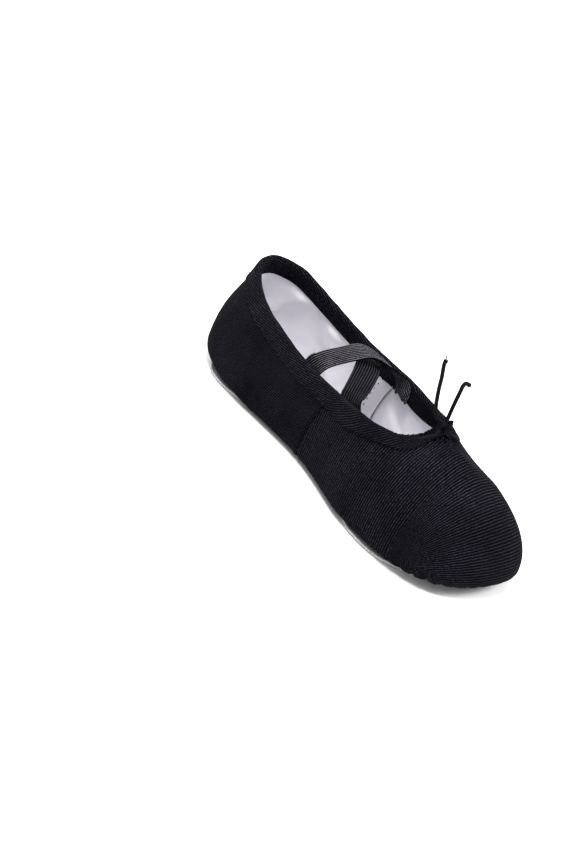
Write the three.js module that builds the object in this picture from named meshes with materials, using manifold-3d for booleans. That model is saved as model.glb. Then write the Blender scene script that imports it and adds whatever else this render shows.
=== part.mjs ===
// Canvas split-sole ballet slipper, in millimetres: +X to the toe, +Y to the wearer's left, +Z up.
// The origin is on the floor under the middle of the slipper, which stands flat on its two suede soles.
import * as THREE from "three";
import { mergeVertices } from "three/addons/utils/BufferGeometryUtils.js";
import Module from "manifold-3d";

// Outside of the upper.
const LENGTH = 230;
const HALF = LENGTH / 2;
const HEEL_WIDTH = 60.7;
const WAIST_WIDTH = 58.2;
const BALL_WIDTH = 78;
const BALL_X = 48.8;
const HEEL_HEIGHT = 62;
const SIDE_HEIGHT = 46;
const THROAT_HEIGHT = 55;
const THROAT_X = 50.6;
const SEAM_TOP_X = 3;
const SEAM_BOTTOM_X = -6;
const SEAM_T = 0.45;
const HEEL_FAN_X = -HALF + 28;
const TOE_FAN_X = HALF - 38;
const SOLE_LIFT = 1.7;

// Cloth layers, as depths below the outer skin of the upper.
const GAP = 0.3;
const CANVAS = [0, 0.9];
const LINING = [CANVAS[1] + GAP, CANVAS[1] + GAP + 0.6];
const SEAM_TAPE = [LINING[1] + GAP, LINING[1] + GAP + 0.5];
const SEAM_TAPE_WIDTH = 10;
const TAPE_THICK = 0.8;
const BINDING_OUTSIDE = -0.45 - TAPE_THICK;
const BINDING_INSIDE = 3.1;
const BINDING_DEPTH = 10.5;
const CANVAS_TOP = 4.6;
const CORD_DEPTH = 3;
const CORD_INSET = 0.5 * (BINDING_OUTSIDE + BINDING_INSIDE);
const CORD_RADIUS = 0.9;
const STITCH_DEPTH = 9.3;
const STITCH_SIZE = 0.5;

// Elastic straps.
const STRAP_WIDTH = 13;
const STRAP_THICK = 1;

// Soles and insoles.
const SOLE_THICK = 1.4;
const PAD_LOW = 3.8;
const PAD_THICK = 2;
const SOCK_THICK = 0.6;
const SEWING_INSETS = { outer: 3, inner: 5.6 };
const THREAD = 0.5;
const GROOVE_WIDTH = 1.1;
const GROOVE_DEPTH = 1.05;

const colours = {
  canvas: 0x1b1a20,
  tape: 0x18161d,
  cotton: 0xdcd8e2,
  elastic: 0x141318,
  cord: 0x111014,
  suede: 0xb9b8ba,
  thread: 0x2a292d,
  foam: 0xd8d4cc,
};

const group = new THREE.Group();

function addPart(name, geometry, colour, roughness = 0.9) {
  geometry.computeVertexNormals();
  const looks = { color: colour, roughness, metalness: 0, flatShading: true };
  const material = new THREE.MeshStandardMaterial(looks);
  const mesh = new THREE.Mesh(geometry, material);
  mesh.name = name;
  group.add(mesh);
}

// A closed curve, mirrored in the slipper's middle plane, from its half: [x, half width, z], heel to toe.
function loopOf(half) {
  const right = half.map(([x, y, z = 0]) => new THREE.Vector3(x, -y, z));
  const left = half.slice(1, -1).reverse().map(([x, y, z = 0]) => new THREE.Vector3(x, y, z));
  const loop = new THREE.CatmullRomCurve3([...right, ...left], true, "centripetal");
  loop.arcLengthDivisions = 1200;
  return loop;
}

const outline = loopOf([
  [-HALF, 0],
  [-HALF + 6, 0.34 * HEEL_WIDTH],
  [-HALF + 32, HEEL_WIDTH / 2],
  [SEAM_BOTTOM_X, WAIST_WIDTH / 2],
  [BALL_X, BALL_WIDTH / 2],
  [0.74 * HALF, 0.48 * BALL_WIDTH],
  [0.94 * HALF, 0.33 * BALL_WIDTH],
  [HALF, 0],
]);
const topline = loopOf([
  [-HALF + 9.7, 0, HEEL_HEIGHT],
  [-HALF + 17.7, 14, HEEL_HEIGHT - 2.5],
  [-HALF + 42, 23.6, 52.2],
  [SEAM_BOTTOM_X, 29, SIDE_HEIGHT],
  [THROAT_X - 6.6, 17.3, THROAT_HEIGHT - 7.2],
  [THROAT_X, 0, THROAT_HEIGHT],
]);

// The share of a loop's length at which its right-hand half reaches x.
function shareAt(loop, x) {
  let low = 0;
  let high = 0.5;
  for (let step = 0; step < 40; step++) {
    const middle = (low + high) / 2;
    if (loop.getPointAt(middle).x < x) low = middle;
    else high = middle;
  }
  return low;
}
const seamShare = { low: shareAt(outline, SEAM_BOTTOM_X), top: shareAt(topline, SEAM_TOP_X) };

// A value read off a chain of [x, value] points joined by straight lines.
function along(chain, x) {
  const end = chain.findIndex(([at]) => at >= x);
  if (end <= 0) return end < 0 ? chain.at(-1)[1] : chain[0][1];
  const [[x0, v0], [x1, v1]] = [chain[end - 1], chain[end]];
  return v0 + ((v1 - v0) * (x - x0)) / (x1 - x0);
}
const WIDEST_HEIGHT = [
  [-HALF, 14.4], [-HALF + 25, 8.6], [-HALF + 60, 5.7], [0.35 * HALF, 5.7], [0.8 * HALF, 7.9], [HALF, 11.3],
];
const CORNER_REACH = [
  [-HALF, 12], [-HALF + 30, 8], [-HALF + 60, 4], [0.35 * HALF, 4], [0.7 * HALF, 9], [HALF, 20],
];

// One line of the skin, from the topline down and under to the middle of the sole, t from 0 at the
// heel to 1 at the toe on the wearer's right, and on round to 2 on the left.
const columns = new Map();
function column(t) {
  const turn = ((t % 2) + 2) % 2;
  const key = Math.round(turn * 1e6);
  if (columns.has(key)) return columns.get(key);
  const left = turn > 1;
  const part = left ? 2 - turn : turn;
  const share = ({ low, top }) =>
    [low, top].map((seam) =>
      part < SEAM_T ? (part / SEAM_T) * seam : seam + ((part - SEAM_T) / (1 - SEAM_T)) * (0.5 - seam));
  const [lowShare, topShare] = share(seamShare);
  const wide = outline.getPointAt(lowShare);
  const top = topline.getPointAt(topShare);
  wide.z = along(WIDEST_HEIGHT, wide.x);
  const reach = along(CORNER_REACH, wide.x);
  const across = new THREE.Vector3(top.x - wide.x, top.y - wide.y, 0);
  const rise = top.z - wide.z;
  const lean = across.length() / (across.length() + rise);
  const lower = wide.clone();
  lower.z += rise * (0.45 * (1 - lean) + 0.62 * lean);
  const upper = top.clone().addScaledVector(across, -0.46);
  upper.z -= rise * (0.42 * (1 - lean) + 0.06 * lean);
  const points = new THREE.CubicBezierCurve3(top, upper, lower, wide).getPoints(48);
  const middle = new THREE.Vector3(THREE.MathUtils.clamp(wide.x, HEEL_FAN_X, TOE_FAN_X), 0, 0);
  const inward = middle.clone().sub(wide).setZ(0).normalize();
  for (let step = 1; step <= 10; step++) {
    const angle = (step / 10) * (Math.PI / 2);
    const point = wide.clone().addScaledVector(inward, reach * (1 - Math.cos(angle)));
    points.push(point.setZ(wide.z * (1 - Math.sin(angle))));
  }
  const corner = points.length - 1;
  for (let step = 1; step <= 12; step++) points.push(points[corner].clone().lerp(middle, step / 12));
  for (const point of points) {
    point.z += SOLE_LIFT * Math.exp(-Math.max(point.z, 0) / 6);
    if (left) point.y *= -1;
  }
  const depth = [0];
  for (let i = 1; i < points.length; i++) depth.push(depth[i - 1] + points[i].distanceTo(points[i - 1]));
  const result = { points, depth, corner: depth[corner], end: depth.at(-1) };
  columns.set(key, result);
  return result;
}

// A point of the skin at a distance down from the topline.
function skin(t, distance) {
  const { points, depth } = column(t);
  const at = THREE.MathUtils.clamp(distance, 0, depth.at(-1));
  let i = depth.findIndex((value) => value > at);
  if (i < 0) i = depth.length - 1;
  return points[i - 1].clone().lerp(points[i], (at - depth[i - 1]) / (depth[i] - depth[i - 1]));
}

// A point at a depth below the skin, measured square to it. A negative depth stands proud.
function below(t, distance, inset) {
  const down = skin(t, distance + 0.8).sub(skin(t, Math.max(distance - 0.8, 0)));
  const onward = skin(t + 0.003, distance).sub(skin(t - 0.003, distance));
  return skin(t, distance).addScaledVector(down.cross(onward).normalize(), -inset);
}

// A closed body from rings of points that follow each other, with the two end rings capped. The first half
// of a ring is the outer face and the second half goes back along the inner face, cut on the same diagonals.
function loft(rings) {
  const count = rings[0].length;
  const position = rings.flat().flatMap((point) => point.toArray());
  const index = [];
  for (let i = 0; i < rings.length - 1; i++) {
    for (let k = 0; k < count; k++) {
      const [a, b] = [i * count + k, i * count + ((k + 1) % count)];
      if (k < count / 2) index.push(a, b, b + count, a, b + count, a + count);
      else index.push(a, b, a + count, b, b + count, a + count);
    }
  }
  const last = (rings.length - 1) * count;
  for (let k = 0; k < count / 2 - 1; k++) {
    const facing = count - 1 - k;
    index.push(k + 1, k, facing, k + 1, facing, facing - 1);
    index.push(last + k, last + k + 1, last + facing, last + facing, last + k + 1, last + facing - 1);
  }
  const geometry = new THREE.BufferGeometry();
  geometry.setAttribute("position", new THREE.Float32BufferAttribute(position, 3));
  geometry.setIndex(volumeOf(rings.flat(), index) < 0 ? index.reverse() : index);
  return geometry;
}

function volumeOf(points, index) {
  let total = 0;
  for (let i = 0; i < index.length; i += 3) {
    const [a, b, c] = [points[index[i]], points[index[i + 1]], points[index[i + 2]]];
    total += a.dot(b.clone().cross(c)) / 6;
  }
  return total;
}

// A body whose section, a list of [inset, distance], follows the skin through the given t values.
function shell(ts, sectionAt) {
  return loft(ts.map((t) => sectionAt(t).map(([inset, distance]) => below(t, distance, inset))));
}

// Evenly spaced values from one end to the other.
const steps = (from, to, count) =>
  Array.from({ length: count + 1 }, (_, i) => from + ((to - from) * i) / count);

const SEAM_GAP_T = 0.0015;
const vampTs = steps(SEAM_T + SEAM_GAP_T, 2 - SEAM_T - SEAM_GAP_T, 32);
const quarterTs = steps(2 - SEAM_T + SEAM_GAP_T, 2 + SEAM_T - SEAM_GAP_T, 24);

// The canvas and the lining stop under the soles and insoles, around an egg-shaped opening, and meet
// along the middle of the arch between them.
const OPENINGS = [
  { x: -80, long: 22, wide: 14 },
  { x: 60, long: 31, wide: 20 },
];
const ARCH_SLIT = 0.25;

function lowEdge(t) {
  const { corner, end } = column(t);
  for (let distance = corner; distance < end - ARCH_SLIT; distance += 0.25) {
    const { x, y } = skin(t, distance);
    if (OPENINGS.some((hole) => ((x - hole.x) / hole.long) ** 2 + (y / hole.wide) ** 2 < 1)) return distance;
  }
  return end - ARCH_SLIT;
}

const WALL_ROWS = 6;
const CORNER_ROWS = 4;
const SOLE_ROWS = 2;
function clothSection(t, [outer, inner]) {
  const { corner } = column(t);
  const wide = corner - Math.min(14, 0.4 * corner);
  const distances = [
    ...steps(CANVAS_TOP, wide, WALL_ROWS).slice(0, -1),
    ...steps(wide, corner, CORNER_ROWS).slice(0, -1),
    ...steps(corner, lowEdge(t), SOLE_ROWS),
  ];
  return [...distances.map((d) => [outer, d]), ...distances.reverse().map((d) => [inner, d])];
}

addPart("vamp_canvas", shell(vampTs, (t) => clothSection(t, CANVAS)), colours.canvas);
addPart("quarter_canvas", shell(quarterTs, (t) => clothSection(t, CANVAS)), colours.canvas);

// The lining's own seams lie behind the canvas's.
const LINING_SEAM_T = 0.374;
const canvasTs = [...quarterTs.map((t) => t - 2), ...vampTs, ...quarterTs];
const between = (from, to) => [from, ...canvasTs.filter((t) => t > from + 0.005 && t < to - 0.005), to];
const liningVampTs = between(LINING_SEAM_T + SEAM_GAP_T, 2 - LINING_SEAM_T - SEAM_GAP_T);
const liningQuarterTs = between(2 - LINING_SEAM_T + SEAM_GAP_T, 2 + LINING_SEAM_T - SEAM_GAP_T);
addPart("vamp_lining", shell(liningVampTs, (t) => clothSection(t, LINING)), colours.cotton);
addPart("quarter_lining", shell(liningQuarterTs, (t) => clothSection(t, LINING)), colours.cotton);

// A flat tape covers each seam of the lining on the inside, from under the binding to the arch.
function seamTape(t, distance) {
  const half = 0.5 * SEAM_TAPE_WIDTH;
  const width = skin(t + 0.01, distance).distanceTo(skin(t, distance)) / 0.01;
  return [t - half / width, t + half / width];
}
const SEAM_TAPES = { right_seam_tape: LINING_SEAM_T, left_seam_tape: 2 - LINING_SEAM_T };
for (const [name, seamT] of Object.entries(SEAM_TAPES)) {
  const distances = steps(BINDING_DEPTH + 1, column(seamT).corner + 6, 7);
  const rings = distances.map((distance) => {
    const [from, to] = seamTape(seamT, distance);
    return [
      ...steps(from, to, 2).map((t) => below(t, distance, SEAM_TAPE[0])),
      ...steps(to, from, 2).map((t) => below(t, distance, SEAM_TAPE[1])),
    ];
  });
  addPart(name, loft(rings), colours.cotton);
}

// The binding is a tape folded over the edge as a casing, open at the throat where the cord comes out.
const THROAT_T = 0.04;
const toplineTs = [
  1 + THROAT_T,
  ...vampTs.filter((t) => t > 1 + THROAT_T + 0.01),
  ...quarterTs,
  ...vampTs.map((t) => t + 2).filter((t) => t > 2 + SEAM_T && t < 3 - THROAT_T - 0.01),
  3 - THROAT_T,
];
function bindingSection() {
  const centre = 0.5 * (BINDING_OUTSIDE + BINDING_INSIDE);
  const outer = BINDING_INSIDE - centre;
  const inner = outer - TAPE_THICK;
  const arc = (radius, angles) =>
    angles.map((a) => [centre - radius * Math.cos(a), outer - radius * Math.sin(a)]);
  const angles = steps(0, Math.PI, 4);
  const leg = [BINDING_DEPTH, 0.6 * BINDING_DEPTH];
  const upLeg = leg.toReversed();
  return [
    ...leg.map((d) => [BINDING_OUTSIDE, d]),
    ...arc(outer, angles),
    ...upLeg.map((d) => [BINDING_INSIDE, d]),
    ...leg.map((d) => [BINDING_INSIDE - TAPE_THICK, d]),
    ...arc(inner, angles.toReversed()),
    ...upLeg.map((d) => [BINDING_OUTSIDE + TAPE_THICK, d]),
  ];
}
addPart("topline_binding", shell(toplineTs, bindingSection), colours.tape);

function squareSection(inset, distance, size) {
  const half = size / 2;
  const corners = [[-half, -half], [half, -half], [half, half], [-half, half]];
  return corners.map(([a, b]) => [inset + a, distance + b]);
}
const stitchInset = BINDING_OUTSIDE - 0.2 - STITCH_SIZE / 2;
const stitchSection = () => squareSection(stitchInset, STITCH_DEPTH, STITCH_SIZE);
addPart("binding_stitching", shell(toplineTs, stitchSection), colours.thread);

// The drawstring runs in the casing from one side of the throat round the heel to the other.
function roundSection(inset, distance, radius) {
  const angles = steps(0, 2 * Math.PI, 8).slice(0, -1);
  return angles.map((a) => [inset + radius * Math.cos(a), distance + radius * Math.sin(a)]);
}
// At the throat it rises out of the casing to the knot.
const CORD_T = 0.0235;
const cordTs = [1 + CORD_T, ...toplineTs, 3 - CORD_T];
const cordSection = (t) => {
  const cased = toplineTs.includes(t);
  return roundSection(cased ? CORD_INSET : 0, cased ? CORD_DEPTH : 1.4, CORD_RADIUS);
};
addPart("drawstring", shell(cordTs, cordSection), colours.cord);

// The knot at the throat, and the two ends that stand up from it.
const KNOT_RADIUS = 2.6;
const knot = new THREE.Vector3(THROAT_X - 1, 0, THROAT_HEIGHT + 1.2);
const knotBall = new THREE.SphereGeometry(KNOT_RADIUS, 12, 8).deleteAttribute("normal").deleteAttribute("uv");
const knotGeometry = mergeVertices(knotBall);
knotGeometry.translate(knot.x, knot.y, knot.z);
addPart("drawstring_knot", knotGeometry, colours.cord);

// Each end is a free cord through these points, measured from the middle of the knot.
const CORD_ENDS = {
  drawstring_end_right: [
    [-0.9, -2.4, 1.6], [-3.3, -3.4, 4.9], [-3.9, -4.3, 7.9], [-4.8, -5.8, 15.9], [-5.3, -6.7, 22.8],
    [-5.9, -8, 30.2], [-5.7, -7.9, 32],
  ],
  drawstring_end_left: [
    [1.3, 1, 2.5], [1.2, 1.2, 7.3], [3, -0.6, 13.3], [5.6, -3, 20.6], [8, -5.2, 26.6], [9.8, -6, 28.9],
    [12.5, -6.4, 29.6],
  ],
};
for (const [name, route] of Object.entries(CORD_ENDS)) {
  const curve = new THREE.CatmullRomCurve3(route.map((offset) => new THREE.Vector3(...offset).add(knot)));
  const round = new THREE.Shape(steps(0, 2 * Math.PI, 8).slice(0, -1).map((a) =>
    new THREE.Vector2(CORD_RADIUS * Math.cos(a), CORD_RADIUS * Math.sin(a))));
  addPart(name, new THREE.ExtrudeGeometry(round, { steps: 14, extrudePath: curve }), colours.cord);
}

// The elastics cross over the instep. Each end is sewn flat to the lining, inside the binding.
const rightSide = (x) => {
  const share = shareAt(topline, x);
  return share < seamShare.top
    ? (share / seamShare.top) * SEAM_T
    : SEAM_T + ((share - seamShare.top) / (0.5 - seamShare.top)) * (1 - SEAM_T);
};
const leftSide = (x) => 2 - rightSide(x);
const STRAP_SEWN = [[10, 6.0], [8, 6.0], [6, 5.8]];

// A flat band of the given width and thickness, lying at a height above a centre line.
function band(path, widthAt, from, to, height, width, thick, count) {
  const rings = steps(from, to, count).map((u) => {
    const centre = path.getPoint(u);
    const forward = path.getTangent(u);
    const side = widthAt(u);
    side.addScaledVector(forward, -side.dot(forward)).normalize();
    const up = forward.clone().cross(side);
    return [[-1, -1], [1, -1], [1, 1], [-1, 1]].map(([a, b]) =>
      centre.clone().addScaledVector(side, (a * width) / 2).addScaledVector(up, height + (b * thick) / 2));
  });
  return loft(rings);
}

const STRAPS = {
  strap_over: {
    right: -22,
    left: -10,
    crest: [
      [-20.4, -22.5, 48], [-20.4, -15, 51], [-20.3, -6, 53.4], [-21.2, 5, 53.8], [-21, 13, 51.9],
      [-19.4, 19, 48], [-15.4, 22.6, 43.4],
    ],
  },
  strap_under: {
    right: 13,
    left: -36,
    crest: [
      [9.6, -21.8, 44.2], [1.6, -13, 48], [-5.6, -5, 49.2], [-14, 3.6, 48.8], [-22.3, 11, 47.2],
      [-30, 18.2, 45],
    ],
  },
};
for (const [name, { right, left, crest }] of Object.entries(STRAPS)) {
  const [rightT, leftT] = [rightSide(right), leftSide(left)];
  const rightEnd = STRAP_SEWN.map(([distance, inset]) => below(rightT, distance, inset));
  const leftEnd = STRAP_SEWN.map(([distance, inset]) => below(leftT, distance, inset)).reverse();
  const middle = crest.map((point) => new THREE.Vector3(...point));
  const path = new THREE.CatmullRomCurve3([...rightEnd, ...middle, ...leftEnd]);
  const rightWidth = skin(rightT + 0.02, 5).sub(skin(rightT - 0.02, 5)).normalize();
  const leftWidth = skin(leftT - 0.02, 5).sub(skin(leftT + 0.02, 5)).normalize();
  const widthAt = (u) => rightWidth.clone().lerp(leftWidth, THREE.MathUtils.smoothstep(u, 0.1, 0.9));
  addPart(name, band(path, widthAt, 0, 1, 0, STRAP_WIDTH, STRAP_THICK, 26), colours.elastic);
  const tackHeight = STRAP_THICK / 2 + GAP + 0.3;
  for (const [side, from, to] of [["right", 0.02, 0.06], ["left", 0.94, 0.98]]) {
    const tack = band(path, widthAt, from, to, tackHeight, STRAP_WIDTH - 3, 0.5, 1);
    addPart(name.replace("strap", "strap_tack") + "_" + side, tack, colours.thread);
  }
}

// Suede soles with two rows of sewing each, sunk in grooves, and a pad and a sock inside over each.
const SOLES = {
  front: [[19, 0], [24, 15], [38, 28], [57, 36], [76, 34.5], [93, 22], [100, 0]],
  heel: [[-108, 0], [-104, 12.5], [-91, 24.5], [-74, 27.5], [-57, 22.5], [-47, 11], [-44, 0]],
};
const SOLE_POINTS = 36;
const PAD_INSET = 6.4;
const SOCK_INSET = 5.8;

// The outline of a sole moved in by a distance, as flat points.
function soleLine(loop, inset) {
  return steps(0, 1, SOLE_POINTS).slice(0, -1).map((u) => {
    const { x, y } = loop.getPointAt(u);
    const { x: tx, y: ty } = loop.getTangentAt(u);
    return new THREE.Vector2(x - ty * inset, y + tx * inset);
  });
}
function plate(loop, inset, low, thick, width) {
  const shape = new THREE.Shape(soleLine(loop, inset));
  if (width) shape.holes.push(new THREE.Path(soleLine(loop, inset + width)));
  return new THREE.ExtrudeGeometry(shape, { depth: thick, bevelEnabled: false }).translate(0, 0, low);
}

const wasm = await Module();
wasm.setup();
function solidOf(geometry) {
  const merged = mergeVertices(geometry.deleteAttribute("normal").deleteAttribute("uv"));
  const mesh = new wasm.Mesh({
    numProp: 3,
    vertProperties: new Float32Array(merged.attributes.position.array),
    triVerts: new Uint32Array(merged.index.array),
  });
  return new wasm.Manifold(mesh);
}
function geometryOf(solid) {
  const { vertProperties, triVerts } = solid.getMesh();
  const geometry = new THREE.BufferGeometry();
  geometry.setAttribute("position", new THREE.BufferAttribute(vertProperties, 3));
  return geometry.setIndex(new THREE.BufferAttribute(triVerts, 1));
}

for (const [name, half] of Object.entries(SOLES)) {
  const loop = loopOf(half);
  let sole = solidOf(plate(loop, 0, 0, SOLE_THICK));
  for (const [row, inset] of Object.entries(SEWING_INSETS)) {
    sole = sole.subtract(solidOf(plate(loop, inset, -1, 1 + GROOVE_DEPTH, GROOVE_WIDTH)));
    const threadInset = inset + (GROOVE_WIDTH - THREAD) / 2;
    const thread = plate(loop, threadInset, GROOVE_DEPTH - GAP - THREAD, THREAD, THREAD);
    addPart(`${name}_sole_stitching_${row}`, thread, colours.thread);
  }
  addPart(`${name}_sole_patch`, geometryOf(sole), colours.suede, 0.95);
  addPart(`${name}_insole_pad`, plate(loop, PAD_INSET, PAD_LOW, PAD_THICK), colours.foam);
  addPart(`${name}_sock`, plate(loop, SOCK_INSET, PAD_LOW + PAD_THICK + GAP, SOCK_THICK), colours.cotton);
}

export default group;
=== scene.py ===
import math
import random

import bmesh
import bpy
import numpy as np
from mathutils import Matrix, Vector, noise


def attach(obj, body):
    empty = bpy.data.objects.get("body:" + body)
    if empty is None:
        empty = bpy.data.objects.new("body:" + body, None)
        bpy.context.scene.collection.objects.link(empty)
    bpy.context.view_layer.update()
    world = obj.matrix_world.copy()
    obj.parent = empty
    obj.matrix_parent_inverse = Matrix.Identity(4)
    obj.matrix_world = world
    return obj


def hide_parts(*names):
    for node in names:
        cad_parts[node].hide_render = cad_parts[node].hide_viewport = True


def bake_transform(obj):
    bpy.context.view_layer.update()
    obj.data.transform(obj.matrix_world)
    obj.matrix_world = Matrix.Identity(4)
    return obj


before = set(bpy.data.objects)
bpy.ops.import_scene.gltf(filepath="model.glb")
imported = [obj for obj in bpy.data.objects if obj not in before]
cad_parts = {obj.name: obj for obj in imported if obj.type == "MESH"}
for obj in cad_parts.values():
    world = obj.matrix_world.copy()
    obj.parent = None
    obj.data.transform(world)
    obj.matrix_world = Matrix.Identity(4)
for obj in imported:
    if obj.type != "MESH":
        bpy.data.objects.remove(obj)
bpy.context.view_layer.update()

# A canvas split-sole ballet slipper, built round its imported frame. Sizes are in millimetres and are turned
# into metres where a mesh is made. +X is the toe, +Y the wearer's left, and the slipper stands on z = 0.
MM = 0.001
random.seed(7)

# ---------------------------------------------------------------------------------------------------------
# Camera
# A long lens stands over the toe on the wearer's right, and is rolled, so that the slipper runs downhill
# across the picture.
CAMERA_PLACE = Vector((0.6975, -0.7038, 0.4814))
CAMERA_AZIMUTH = 46.63
CAMERA_ELEVATION = 25.64
CAMERA_ROLL = 21.1
LENS = 91.67

camera = bpy.data.objects.new("camera", bpy.data.cameras.new("camera"))
camera.data.lens = LENS
camera.data.clip_start = 0.01
turned = (Matrix.Rotation(math.radians(CAMERA_AZIMUTH), 4, "Z")
          @ Matrix.Rotation(math.radians(90 - CAMERA_ELEVATION), 4, "X")
          @ Matrix.Rotation(math.radians(CAMERA_ROLL), 4, "Z"))
camera.matrix_world = Matrix.Translation(CAMERA_PLACE) @ turned
bpy.context.scene.collection.objects.link(camera)
bpy.context.scene.camera = camera


# ---------------------------------------------------------------------------------------------------------
# The last
# The slipper is lasted: its cloth takes the shape of a foot form, and every layer lies at its own depth
# under one skin. t runs from 0 at the heel to 1 at the toe on the wearer's right and back to 2 on the left,
# and d is the distance down from the topline, under the foot to the middle of the sole.
HALF = 115
HEEL_WIDTH, WAIST_WIDTH, BALL_WIDTH, BALL_X = 60.7, 58.2, 78, 48.8
HEEL_HEIGHT, SIDE_HEIGHT, THROAT_HEIGHT, THROAT_X = 62, 46, 55, 50.6
SEAM_TOP_X, SEAM_BOTTOM_X, SEAM_T = 3, -6, 0.45
HEEL_FAN_X, TOE_FAN_X = 28 - HALF, HALF - 38
SOLE_LIFT = 1.7
LINE_STEP = 0.5
LINE_LENGTH = 150
LEFT_SAG = 1.7


def smooth_line(knots, count, closed=False):
    """Evenly spaced points along a centripetal curve through the knots."""
    knots = np.asarray(knots, float)
    if closed:
        before, after = knots[-1:], knots[:2]
    else:
        before, after = 2 * knots[:1] - knots[1:2], 2 * knots[-1:] - knots[-2:-1]
    chain = np.vstack([before, knots, after])
    w = np.linspace(0, 1, 60, endpoint=False)[:, None]
    parts = []
    for p0, p1, p2, p3 in zip(chain, chain[1:], chain[2:], chain[3:]):
        d0, d1, d2 = (np.linalg.norm(b - a) ** 0.5 for a, b in ((p0, p1), (p1, p2), (p2, p3)))
        out = ((p1 - p0) / d0 - (p2 - p0) / (d0 + d1) + (p2 - p1) / d1) * d1
        into = ((p2 - p1) / d1 - (p3 - p1) / (d1 + d2) + (p3 - p2) / d2) * d1
        square = 3 * (p2 - p1) - 2 * out - into
        cube = 2 * (p1 - p2) + out + into
        parts.append(p1 + out * w + square * w ** 2 + cube * w ** 3)
    line = np.vstack([*parts, knots[:1] if closed else knots[-1:]])
    return evenly(line, count)


def lengths(line):
    """The distance along a line of points, from its start."""
    return np.append(0, np.cumsum(np.linalg.norm(np.diff(line, axis=0), axis=1)))


def evenly(line, count):
    """The same line through a number of evenly spaced points."""
    run = lengths(line)
    even = np.linspace(0, run[-1], count)
    return np.stack([np.interp(even, run, line[:, k]) for k in range(line.shape[1])], 1)


def loop_of(half):
    """A closed curve through points [x, half width, z] on the wearer's right and their mirror images."""
    right = np.array([(*point, 0)[:3] for point in half], float) * (1, -1, 1)
    return smooth_line(np.vstack([right, right[1:-1][::-1] * (1, -1, 1)]), 2401, closed=True)


def share_at(loop, x):
    """The share of a loop's length at which its right-hand half reaches x."""
    half = loop[:len(loop) // 2 + 1, 0]
    return np.interp(x, half, np.arange(len(half)) / (len(loop) - 1))


def along(loop, share):
    """Points of a loop at shares of its length."""
    place = np.asarray(share) * (len(loop) - 1)
    return np.stack([np.interp(place, np.arange(len(loop)), loop[:, k]) for k in range(3)], -1)


outline = loop_of([(-HALF, 0), (-HALF + 6, 0.34 * HEEL_WIDTH), (-HALF + 32, HEEL_WIDTH / 2),
                   (SEAM_BOTTOM_X, WAIST_WIDTH / 2), (BALL_X, BALL_WIDTH / 2),
                   (0.74 * HALF, 0.48 * BALL_WIDTH), (0.94 * HALF, 0.33 * BALL_WIDTH), (HALF, 0)])
topline = loop_of([(-HALF + 9.7, 0, HEEL_HEIGHT), (-HALF + 17.7, 14, HEEL_HEIGHT - 2.5),
                   (-HALF + 42, 23.6, 52.2), (SEAM_BOTTOM_X, 29, SIDE_HEIGHT),
                   (THROAT_X - 6.6, 17.3, THROAT_HEIGHT - 7.2),
                   (THROAT_X, 0, THROAT_HEIGHT)])
low_seam, top_seam = share_at(outline, SEAM_BOTTOM_X), share_at(topline, SEAM_TOP_X)


def shares(t, seam):
    """Where a line of the skin at t meets a loop whose side seam is at the share seam."""
    return np.where(t < SEAM_T, t / SEAM_T * seam, seam + (t - SEAM_T) / (1 - SEAM_T) * (0.5 - seam))


def lasted_lines():
    """The right-hand half of the skin as lines of points, LINE_STEP apart, and each line's distance to the
    bottom corner and to its end."""
    t = np.linspace(0, 1, 401)
    wide, top = along(outline, shares(t, low_seam)), along(topline, shares(t, top_seam))
    x = wide[:, 0]
    wide[:, 2] = np.interp(x, [-HALF, -HALF + 25, -HALF + 60, 0.35 * HALF, 0.8 * HALF, HALF],
                           [14.4, 8.6, 5.7, 5.7, 7.9, 11.3])
    reach = np.interp(x, [-HALF, -HALF + 30, -HALF + 60, 0.35 * HALF, 0.7 * HALF, HALF], [12, 8, 4, 4, 9, 20])
    across = (top - wide) * (1, 1, 0)
    rise = top[:, 2] - wide[:, 2]
    lean = np.linalg.norm(across, axis=1) / (np.linalg.norm(across, axis=1) + rise)
    lower, upper = wide.copy(), top - 0.46 * across
    lower[:, 2] += rise * (0.45 * (1 - lean) + 0.62 * lean)
    upper[:, 2] -= rise * (0.42 * (1 - lean) + 0.06 * lean)
    s = np.linspace(0, 1, 90)[None, :, None]
    wall = ((1 - s) ** 3 * top[:, None] + 3 * (1 - s) ** 2 * s * upper[:, None]
            + 3 * (1 - s) * s ** 2 * lower[:, None] + s ** 3 * wide[:, None])
    middle = np.stack([np.clip(x, HEEL_FAN_X, TOE_FAN_X), 0 * x, 0 * x], 1)
    inward = (middle - wide) * (1, 1, 0)
    inward /= np.linalg.norm(inward, axis=1)[:, None]
    angle = np.linspace(0, math.pi / 2, 24)[None, 1:, None]
    corner = wide[:, None] + inward[:, None] * reach[:, None, None] * (1 - np.cos(angle))
    corner[..., 2] = wide[:, None, 2] * (1 - np.sin(angle[..., 0]))
    s = np.linspace(0, 1, 20)[None, 1:, None]
    sole = corner[:, -1:] * (1 - s) + middle[:, None] * s
    lines = np.concatenate([wall, corner, sole], 1)
    lines[..., 2] += SOLE_LIFT * np.exp(-np.maximum(lines[..., 2], 0) / 6)
    run = np.cumsum(np.linalg.norm(np.diff(lines, axis=1), axis=2), axis=1)
    run = np.concatenate([np.zeros((len(t), 1)), run], 1)
    even = np.arange(0, LINE_LENGTH, LINE_STEP)
    table = np.array([[np.interp(even, run[i], lines[i, :, k]) for k in range(3)] for i in range(len(t))])
    return table.transpose(0, 2, 1), run[:, wall.shape[1] + corner.shape[1] - 1], run[:, -1]


lines, corner_runs, end_runs = lasted_lines()


def folded(t):
    """t brought to the right-hand half, 0 to 1, and the side that it was on, -1 for left."""
    turn = np.mod(t, 2)
    return np.where(turn > 1, 2 - turn, turn), np.where(turn > 1, -1.0, 1.0)


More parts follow.
